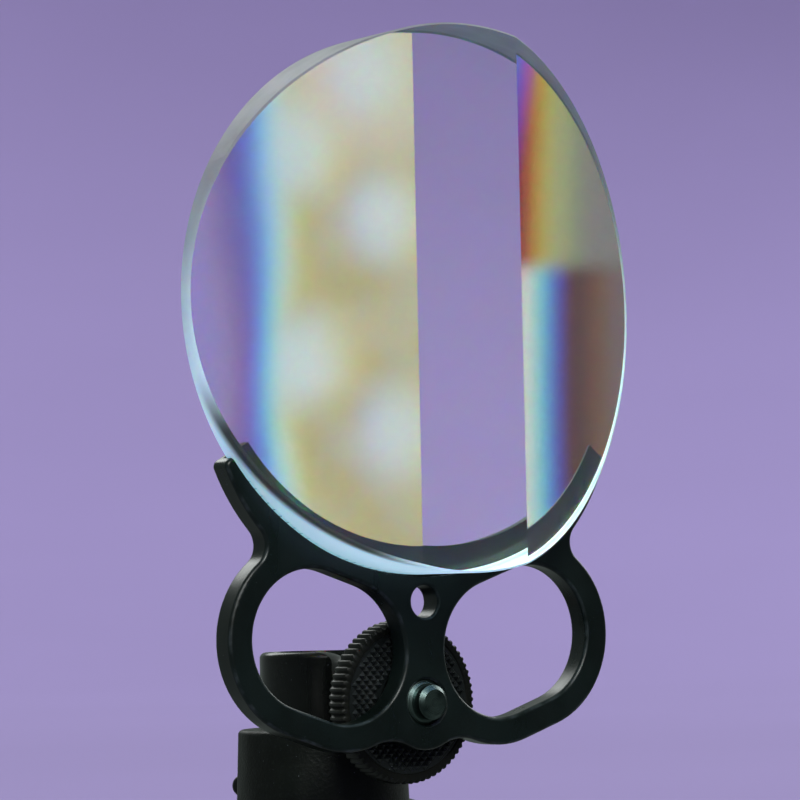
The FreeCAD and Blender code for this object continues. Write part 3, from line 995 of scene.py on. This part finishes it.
class PRISM_OT_lock_wheel(bpy.types.Operator):
    """Makes the ribbed lock wheel, its rubber pad and its insert"""

    bl_idname = "prism.lock_wheel"
    bl_label = "Lock wheel"

    def execute(self, context):
        settings = context.scene.prism_wheel
        colours = context.scene.prism_finish
        low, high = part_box("lock_wheel")
        radius = 0.5 * (high.x - low.x)
        bore, pocket = settings.bore_radius, radius - settings.rim_width
        if not bore < pocket:
            raise ValueError("The wheel's rim and bore leave no room for the pad")
        soft = settings.edge_round
        # A corner point this far in and this far down makes two flats of the rounding.
        inset, drop = 0.27 * soft, 0.36 * soft
        pocket_floor = low.y + settings.pocket_depth
        outline = [
            (bore, pocket_floor),
            (pocket, pocket_floor),
            (pocket, low.y + inset),
            (pocket + inset, low.y),
            (radius - soft, low.y),
            (radius - inset, low.y + drop),
            (radius, low.y + soft),
            (radius, high.y - soft),
            (radius - inset, high.y - drop),
            (radius - soft, high.y),
            (bore, high.y),
        ]
        mesh = bmesh.new()
        revolve(mesh, outline, settings.ribs * 8)
        for vert in mesh.verts:
            arm = Vector((vert.co.x, 0.0, vert.co.z - STUD_AXIS.z))
            if arm.length > radius - 2.0 * inset:
                angle = math.atan2(arm.z, arm.x)
                groove = (0.5 - 0.5 * math.cos(settings.ribs * angle)) ** 1.6
                vert.co -= arm.normalized() * settings.rib_depth * groove
        plastic = coated(
            "wheel_black",
            colours.wheel,
            dark_share=0.46,
            roughness=(0.34, 0.50),
            grain=6000.0,
            grain_depth=0.004 * MM,
            dust=0.01,
            Specular_IOR_Level=0.25,
        )
        finished_piece("ribbed_wheel", mesh, (plastic,), "wheel", "lock_wheel")
        self.make_pad(settings, colours)
        dress("wheel_insert", turned_metal(
            "insert_dark_steel", (0.10, 0.11, 0.11), (0.05, 0.05, 0.05), (0.30, 0.45), STUD_AXIS, ACROSS_STUD
        ))
        return {"FINISHED"}

    def make_pad(self, settings, colours):
        """A rubber ring with rows of raised pyramids."""
        low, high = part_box("grip_pad")
        outer = 0.5 * (high.x - low.x)
        inner, point, pitch = settings.pad_bore, settings.point_height, settings.point_pitch
        foot = settings.point_radius
        top = low.y + point
        mesh = bmesh.new()
        revolve(mesh, [(inner, high.y), (inner, top), (outer, top), (outer, high.y)], 96)
        rows = int(2 * outer / pitch) + 2
        for row in range(-rows, rows + 1):
            for column in range(-rows, rows + 1):
                across = (column + 0.5 * (row % 2)) * pitch
                up = row * 0.5 * pitch
                if not inner + foot < math.hypot(across, up) < outer - foot:
                    continue
                spot = Vector((across, top - 0.5 * point, STUD_AXIS.z + up))
                bmesh.ops.create_cone(
                    mesh,
                    cap_ends=True,
                    segments=4,
                    radius1=foot,
                    radius2=0.13 * foot,
                    depth=point,
                    matrix=Matrix.Translation(spot) @ Matrix.Rotation(math.pi / 2, 4, "X"),
                )
        rubber = coated(
            "pad_rubber",
            colours.pad,
            dark_share=0.54,
            roughness=(0.24, 0.40),
            grain=7000.0,
            grain_depth=0.008 * MM,
            dust=0.02,
            Specular_IOR_Level=0.55,
        )
        finished_piece("pyramid_pad", mesh, (rubber,), "wheel", "grip_pad", 25.0)


class PRISM_OT_head(bpy.types.Operator):
    """Finishes the ball, the cup, the collar and what they hold"""

    bl_idname = "prism.head"
    bl_label = "Ball head"

    def execute(self, context):
        colours = context.scene.prism_finish
        dress("housing", coated(
            "cup_gloss_black",
            colours.cup,
            dark_share=0.48,
            roughness=(0.18, 0.32),
            grain=4200.0,
            grain_depth=0.003 * MM,
            dust=0.005,
            Specular_IOR_Level=0.28,
        ))
        dress("ball_stem", coated(
            "ball_satin_black",
            colours.ball,
            dark_share=0.48,
            roughness=(0.24, 0.38),
            grain=5200.0,
            grain_depth=0.004 * MM,
            dust=0.005,
            Specular_IOR_Level=0.28,
        ))
        dress("collar", coated(
            "collar_grain_black",
            colours.collar,
            dark_share=0.36,
            roughness=(0.40, 0.60),
            grain=2400.0,
            grain_depth=0.070 * MM,
            dust=0.012,
            Specular_IOR_Level=0.22,
        ))
        acetal = coated(
            "acetal_white",
            colours.acetal,
            dark_share=0.85,
            roughness=(0.30, 0.45),
            grain=5000.0,
            grain_depth=0.003 * MM,
        )
        dress("ball_seat", acetal)
        dress("knob_washer", acetal)
        dress("seat_spring", turned_metal(
            "spring_steel", (0.52, 0.51, 0.50), (0.35, 0.30, 0.24), (0.22, 0.38), HEAD_AXIS, ACROSS_HEAD
        ))
        dress("lock_bush", turned_metal(
            "bush_brass", colours.brass, (0.34, 0.22, 0.09), (0.28, 0.44), HEAD_AXIS, ACROSS_HEAD
        ))
        dress("lock_screw", turned_metal(
            "screw_steel", colours.steel, (0.30, 0.28, 0.25), (0.24, 0.40), HEAD_AXIS, ACROSS_HEAD
        ))
        return {"FINISHED"}


class PRISM_OT_knob(bpy.types.Operator):
    """Moulds the wing knob with rounded edges, and finishes its cap"""

    bl_idname = "prism.knob"
    bl_label = "Lock knob"

    def execute(self, context):
        settings = context.scene.prism_knob
        start, end, hub = settings.start, settings.end, settings.hub_radius
        soft, recess = settings.edge_round, settings.cap_radius
        if not recess < hub - soft:
            raise ValueError("The knob's hub has to be wider than its cap's recess")
        floor = end - settings.cap_depth
        outline = [(0.0, start), (hub - soft, start), (hub, start + soft)]
        steps = 4
        for step in range(steps + 1):
            angle = 0.5 * math.pi * step / steps
            radius = hub - soft + soft * math.cos(angle)
            outline.append((radius, end - soft + soft * math.sin(angle)))
        outline += [(recess, end), (recess, floor), (0.0, floor)]
        mesh = bmesh.new()
        revolve(mesh, outline, 96, centre=HEAD_AXIS)
        self.add_wings(mesh, settings)
        bmesh.ops.rotate(
            mesh,
            verts=mesh.verts,
            matrix=Matrix.Rotation(settings.azimuth, 3, "Z")
            @ Matrix.Rotation(settings.roll, 3, "X")
            @ Matrix.Rotation(-math.pi / 2, 3, "Z"),
        )
        bmesh.ops.translate(mesh, verts=mesh.verts, vec=(0.0, 0.0, settings.height))
        plastic = coated(
            "knob_black",
            context.scene.prism_finish.knob,
            dark_share=0.43,
            roughness=(0.34, 0.50),
            grain=5600.0,
            grain_depth=0.008 * MM,
            dust=0.01,
            Specular_IOR_Level=0.25,
        )
        finished_piece("wing_knob", mesh, (plastic,), "knob", "lock_knob")
        dress("knob_cap", plastic)
        return {"FINISHED"}

    def add_wings(self, mesh, settings):
        """One bar through the hub that narrows to round ends, rounded along its edges.

        A circle of the tip's radius is pulled apart into the two ends, and its four
        middle points move out to the root.
        """
        root, tip = settings.wing_root, settings.wing_tip
        segments = 72
        half_step = 0.5 * FULL_TURN / segments
        turn = Matrix.Rotation(math.pi / 2, 4, "X") @ Matrix.Rotation(half_step, 4, "Z")
        start = Vector((0.0, settings.wing_start, 0.0))
        circle = bmesh.ops.create_circle(
            mesh,
            cap_ends=True,
            segments=segments,
            radius=tip,
            matrix=Matrix.Translation(start) @ turn,
        )
        for vert in circle["verts"]:
            if abs(vert.co.x) < 2.0 * half_step * tip:
                vert.co = start + (vert.co - start) * root / tip
            else:
                vert.co.x += math.copysign(settings.wing_reach - tip, vert.co.x)
        bar = circle["verts"][0].link_faces[:]
        grown = bmesh.ops.extrude_face_region(mesh, geom=bar)
        raised = [item for item in grown["geom"] if isinstance(item, bmesh.types.BMVert)]
        bmesh.ops.translate(mesh, verts=raised, vec=(0.0, settings.wing_depth, 0.0))
        ends = (settings.wing_start, settings.wing_start + settings.wing_depth)
        rims = [e for e in mesh.edges if self.is_wing_rim(e, ends)]
        bevel_edges(mesh, rims, 0.8 * settings.edge_round, segments=3)

    def is_wing_rim(self, edge, ends):
        """True for an edge between the bar's side and one of its flat ends."""
        return max(len(face.verts) for face in edge.link_faces) > 8 and all(
            min(abs(vert.co.y - place) for place in ends) < 1e-6 for vert in edge.verts
        )


class PRISM_OT_base(bpy.types.Operator):
    """Finishes the base disc, its brass insert, its rest ring and its screws"""

    bl_idname = "prism.base"
    bl_label = "Base"

    def execute(self, context):
        colours = context.scene.prism_finish
        dress("base_disc", coated(
            "base_satin_black",
            colours.base,
            dark_share=0.44,
            roughness=(0.28, 0.42),
            grain=5200.0,
            grain_depth=0.004 * MM,
            dust=0.01,
            Specular_IOR_Level=0.30,
        ))
        dress("base_insert", turned_metal(
            "insert_brass", colours.brass, (0.34, 0.22, 0.09), (0.28, 0.44), HEAD_AXIS, ACROSS_HEAD
        ))
        dress("rest_ring", coated(
            "ring_rubber",
            colours.ring,
            dark_share=0.46,
            roughness=(0.58, 0.75),
            grain=4200.0,
            grain_depth=0.015 * MM,
            dust=0.04,
        ))
        dress("base_screws", turned_metal(
            "small_screw_steel", (0.50, 0.50, 0.49), (0.28, 0.27, 0.25), (0.26, 0.42), HEAD_AXIS, ACROSS_HEAD
        ))
        return {"FINISHED"}


# --------------------------------------------------------------------- stage
class PRISM_OT_stage(bpy.types.Operator):
    """Sets up the camera, the pale cove, the soft lights and the cards behind the facets"""

    bl_idname = "prism.stage"
    bl_label = "Stage"

    def execute(self, context):
        settings = context.scene.prism_stage
        self.make_camera(context.scene, settings)
        self.make_cove(context.scene, settings)
        self.make_lamps(context.scene)
        self.make_sky(context.scene, settings)
        self.make_left_card(context.scene, settings)
        self.make_right_card(context.scene, settings)
        context.scene.view_settings.view_transform = "Standard"
        return {"FINISHED"}

    def make_camera(self, scene, settings):
        """The camera looks at the aim point from its azimuth and elevation."""
        data = bpy.data.cameras.new("camera")
        data.sensor_width = 36.0
        data.lens = settings.lens
        data.clip_start = 0.01
        data.clip_end = 50.0
        camera = bpy.data.objects.new("camera", data)
        scene.collection.objects.link(camera)
        level = math.cos(settings.elevation)
        back = Vector((
            math.sin(settings.azimuth) * level,
            -math.cos(settings.azimuth) * level,
            math.sin(settings.elevation),
        ))
        camera.location = Vector(settings.aim) + back * settings.distance
        camera.rotation_mode = "QUATERNION"
        roll = Quaternion((0.0, 0.0, 1.0), settings.roll)
        camera.rotation_quaternion = (-back).to_track_quat("-Z", "Y") @ roll
        scene.camera = camera

    def make_cove(self, scene, settings):
        """A floor that sweeps up into a wall all the way round."""
        foot, sweep = settings.cove_radius, settings.cove_sweep
        floor = CAD_BOX[0].z - 0.2 * MM
        outline = [(0.0, floor), (foot, floor)]
        arcs = 32
        for number in range(1, arcs + 1):
            angle = 0.5 * math.pi * number / arcs
            outline.append((foot + sweep * math.sin(angle), floor + sweep * (1 - math.cos(angle))))
        outline.append((foot + sweep, floor + settings.cove_wall))
        mesh = bmesh.new()
        line = [mesh.verts.new((r, 0.0, z)) for r, z in outline]
        edges = [mesh.edges.new(pair) for pair in zip(line, line[1:])]
        bmesh.ops.spin(
            mesh,
            geom=line + edges,
            cent=(0.0, 0.0, 0.0),
            axis=(0.0, 0.0, 1.0),
            angle=FULL_TURN,
            steps=96,
            use_merge=True,
            use_duplicate=False,
        )
        bmesh.ops.remove_doubles(mesh, verts=mesh.verts, dist=1e-6)
        for face in mesh.faces:
            face.smooth = True
        data = bpy.data.meshes.new("cove")
        mesh.to_mesh(data)
        mesh.free()
        paper = Finish("cove_paper", Roughness=0.9, Specular_IOR_Level=0.2)
        tone = settings.cove_colour
        fibre = paper.window(paper.noise(3.0, 2.0), 0.3, 0.7)
        paper.feed(paper.shader, "Base Color", paper.blend(fibre, tone, toned(tone, 1.03)))
        data.materials.append(paper.material)
        cove = bpy.data.objects.new("cove", data)
        cove.visible_glossy = False
        scene.collection.objects.link(cove)

    def make_lamps(self, scene):
        """Large soft lamps that point at the object, each with its place, size, power and colour."""
        target = 0.5 * (CAD_BOX[0] + CAD_BOX[1])
        lamps = (
            ("key", (-1.0, -2.1, 1.7), 1.2, 66.0, (0.97, 1.0, 0.97)),
            ("fill", (2.2, 0.5, 1.3), 1.3, 26.0, (0.95, 1.0, 0.98)),
            ("back", (0.2, 2.2, 1.9), 1.4, 28.0, (0.96, 1.0, 0.98)),
        )
        for name, place, size, power, colour in lamps:
            data = bpy.data.lights.new(name, "AREA")
            data.size = size
            data.energy = power
            data.color = colour
            lamp = bpy.data.objects.new(name, data)
            lamp.location = place
            lamp.rotation_mode = "QUATERNION"
            lamp.rotation_quaternion = (target - Vector(place)).to_track_quat("-Z", "Y")
            lamp.visible_camera = False
            scene.collection.objects.link(lamp)

    def make_sky(self, scene, settings):
        """A dim sky, darker on the front side."""
        world = bpy.data.worlds.new("soft_sky")
        world.use_nodes = True
        nodes, links = world.node_tree.nodes, world.node_tree.links
        sky = nodes["Background"]
        sky.inputs["Color"].default_value = (*settings.sky_colour, 1.0)
        way = nodes.new("ShaderNodeTexCoord")
        split = nodes.new("ShaderNodeSeparateXYZ")
        fade = nodes.new("ShaderNodeMapRange")
        fade.inputs["From Min"].default_value = -0.7
        fade.inputs["From Max"].default_value = 0.5
        fade.inputs["To Min"].default_value = settings.sky_front
        fade.inputs["To Max"].default_value = settings.sky_back
        links.new(way.outputs["Generated"], split.inputs[0])
        links.new(split.outputs["Y"], fade.inputs["Value"])
        links.new(fade.outputs[0], sky.inputs["Strength"])
        scene.world = world

    def make_left_card(self, scene, settings):
        """Cream and straw, with five pale soft spots, that fades to blue and lilac at its left."""
        card = CardFinish("left_card")
        cloud = card.window(card.noise(24.0, 1.0), 0.35, 0.65)
        colour = card.blend(cloud, (0.45, 0.42, 0.22), (0.50, 0.48, 0.32))
        colour = card.blend(card.window(card.up, 0.060, 0.105), colour, (0.58, 0.54, 0.42))
        for spot in ((-0.014, 0.088), (0.040, 0.132), (0.046, 0.047), (-0.014, -0.036), (0.047, -0.078)):
            near = card.window(card.distance_to(spot), 0.042, 0.008)
            colour = card.blend(near, colour, (0.60, 0.66, 0.64))
        waver = card.window(card.noise(9.0, 0.0), 0.3, 0.7, -0.007, 0.007)
        across = card.math("ADD", card.across, waver)
        colour = card.blend(card.window(across, -0.040, -0.012), (0.52, 0.64, 0.76), colour)
        colour = card.blend(card.window(across, -0.055, -0.036), (0.12, 0.13, 0.40), colour)
        colour = card.blend(card.window(across, -0.084, -0.056), settings.card_colour, colour)
        self.make_card(scene, settings, card, colour, settings.left_card)

    def make_right_card(self, scene, settings):
        """Warm above and cool below, with a sharp dark side whose fringes the glass spreads."""
        card = CardFinish("right_card")
        across, up = card.across, card.up
        slant = card.math("ADD", across, card.math("MULTIPLY", up, -0.14))
        warm = card.blend(card.window(across, 0.026, 0.046), (0.46, 0.38, 0.17), (0.20, 0.20, 0.19))
        warm = card.blend(card.window(across, 0.013, 0.018), (0.05, 0.02, 0.03), warm)
        warm = card.blend(card.window(slant, -0.016, -0.009), settings.card_colour, warm)
        cool = card.blend(card.window(across, 0.020, 0.027), (0.62, 0.64, 0.60), (0.05, 0.045, 0.04))
        cool = card.blend(card.window(across, 0.040, 0.056), cool, (0.17, 0.12, 0.13))
        cool = card.blend(card.window(slant, 0.002, 0.008), settings.card_colour, cool)
        colour = card.blend(card.window(up, 0.008, 0.026), cool, warm)
        self.make_card(scene, settings, card, colour, settings.right_card)

    def make_card(self, scene, settings, finish, colour, azimuth):
        """An upright card that faces the glass, glows softly and shows only through the glass."""
        glow = finish.add("Emission", {"Color": colour, "Strength": 1.0})
        finish.links.new(glow.outputs[0], finish.output.inputs["Surface"])
        finish.nodes.remove(finish.shader)
        mesh = bmesh.new()
        bmesh.ops.create_grid(mesh, x_segments=1, y_segments=1, size=settings.card_reach)
        data = bpy.data.meshes.new(finish.material.name)
        mesh.to_mesh(data)
        mesh.free()
        data.materials.append(finish.material)
        card = bpy.data.objects.new(finish.material.name, data)
        away = Vector((math.sin(azimuth), math.cos(azimuth), 0.0))
        card.location = settings.card_distance * away + Vector((0.0, 0.0, settings.card_height))
        card.rotation_euler = (math.pi / 2, 0.0, -azimuth)
        card.visible_camera = False
        card.visible_diffuse = False
        card.visible_glossy = False
        card.visible_shadow = False
        scene.collection.objects.link(card)


# ---------------------------------------------------------------- registration
class PRISM_PT_pieces(bpy.types.Panel):
    """Lists the pieces, the stage and their settings"""

    bl_idname = "PRISM_PT_pieces"
    bl_label = "Glass effect prism"
    bl_space_type = "VIEW_3D"
    bl_region_type = "UI"
    bl_category = "Prism"

    def draw(self, context):
        for operator in OPERATORS:
            self.layout.operator(operator.bl_idname)
        for name, group in SETTINGS:
            box = self.layout.box()
            box.label(text=group.__doc__)
            for key in group.__annotations__:
                box.prop(getattr(context.scene, name), key)


SETTINGS = (
    ("prism_stage", StageSettings),
    ("prism_glass", GlassSettings),
    ("prism_stud", StudSettings),
    ("prism_wheel", WheelSettings),
    ("prism_knob", KnobSettings),
    ("prism_finish", FinishSettings),
)
OPERATORS = (
    PRISM_OT_stage,
    PRISM_OT_glass,
    PRISM_OT_holder,
    PRISM_OT_stud,
    PRISM_OT_lock_wheel,
    PRISM_OT_head,
    PRISM_OT_knob,
    PRISM_OT_base,
)


def register():
    """Adds the settings, the operators and the panel."""
    for name, group in SETTINGS:
        bpy.utils.register_class(group)
        setattr(bpy.types.Scene, name, PointerProperty(type=group))
    for kind in OPERATORS + (PRISM_PT_pieces,):
        bpy.utils.register_class(kind)


def unregister():
    """Takes them away again."""
    for kind in reversed(OPERATORS + (PRISM_PT_pieces,)):
        bpy.utils.unregister_class(kind)
    for name, group in reversed(SETTINGS):
        delattr(bpy.types.Scene, name)
        bpy.utils.unregister_class(group)


def main():
    """Makes the stage and every piece."""
    register()
    bpy.ops.prism.stage()
    bpy.ops.prism.glass()
    bpy.ops.prism.holder()
    bpy.ops.prism.stud()
    bpy.ops.prism.lock_wheel()
    bpy.ops.prism.head()
    bpy.ops.prism.knob()
    bpy.ops.prism.base()


if __name__ == "__main__":
    main()
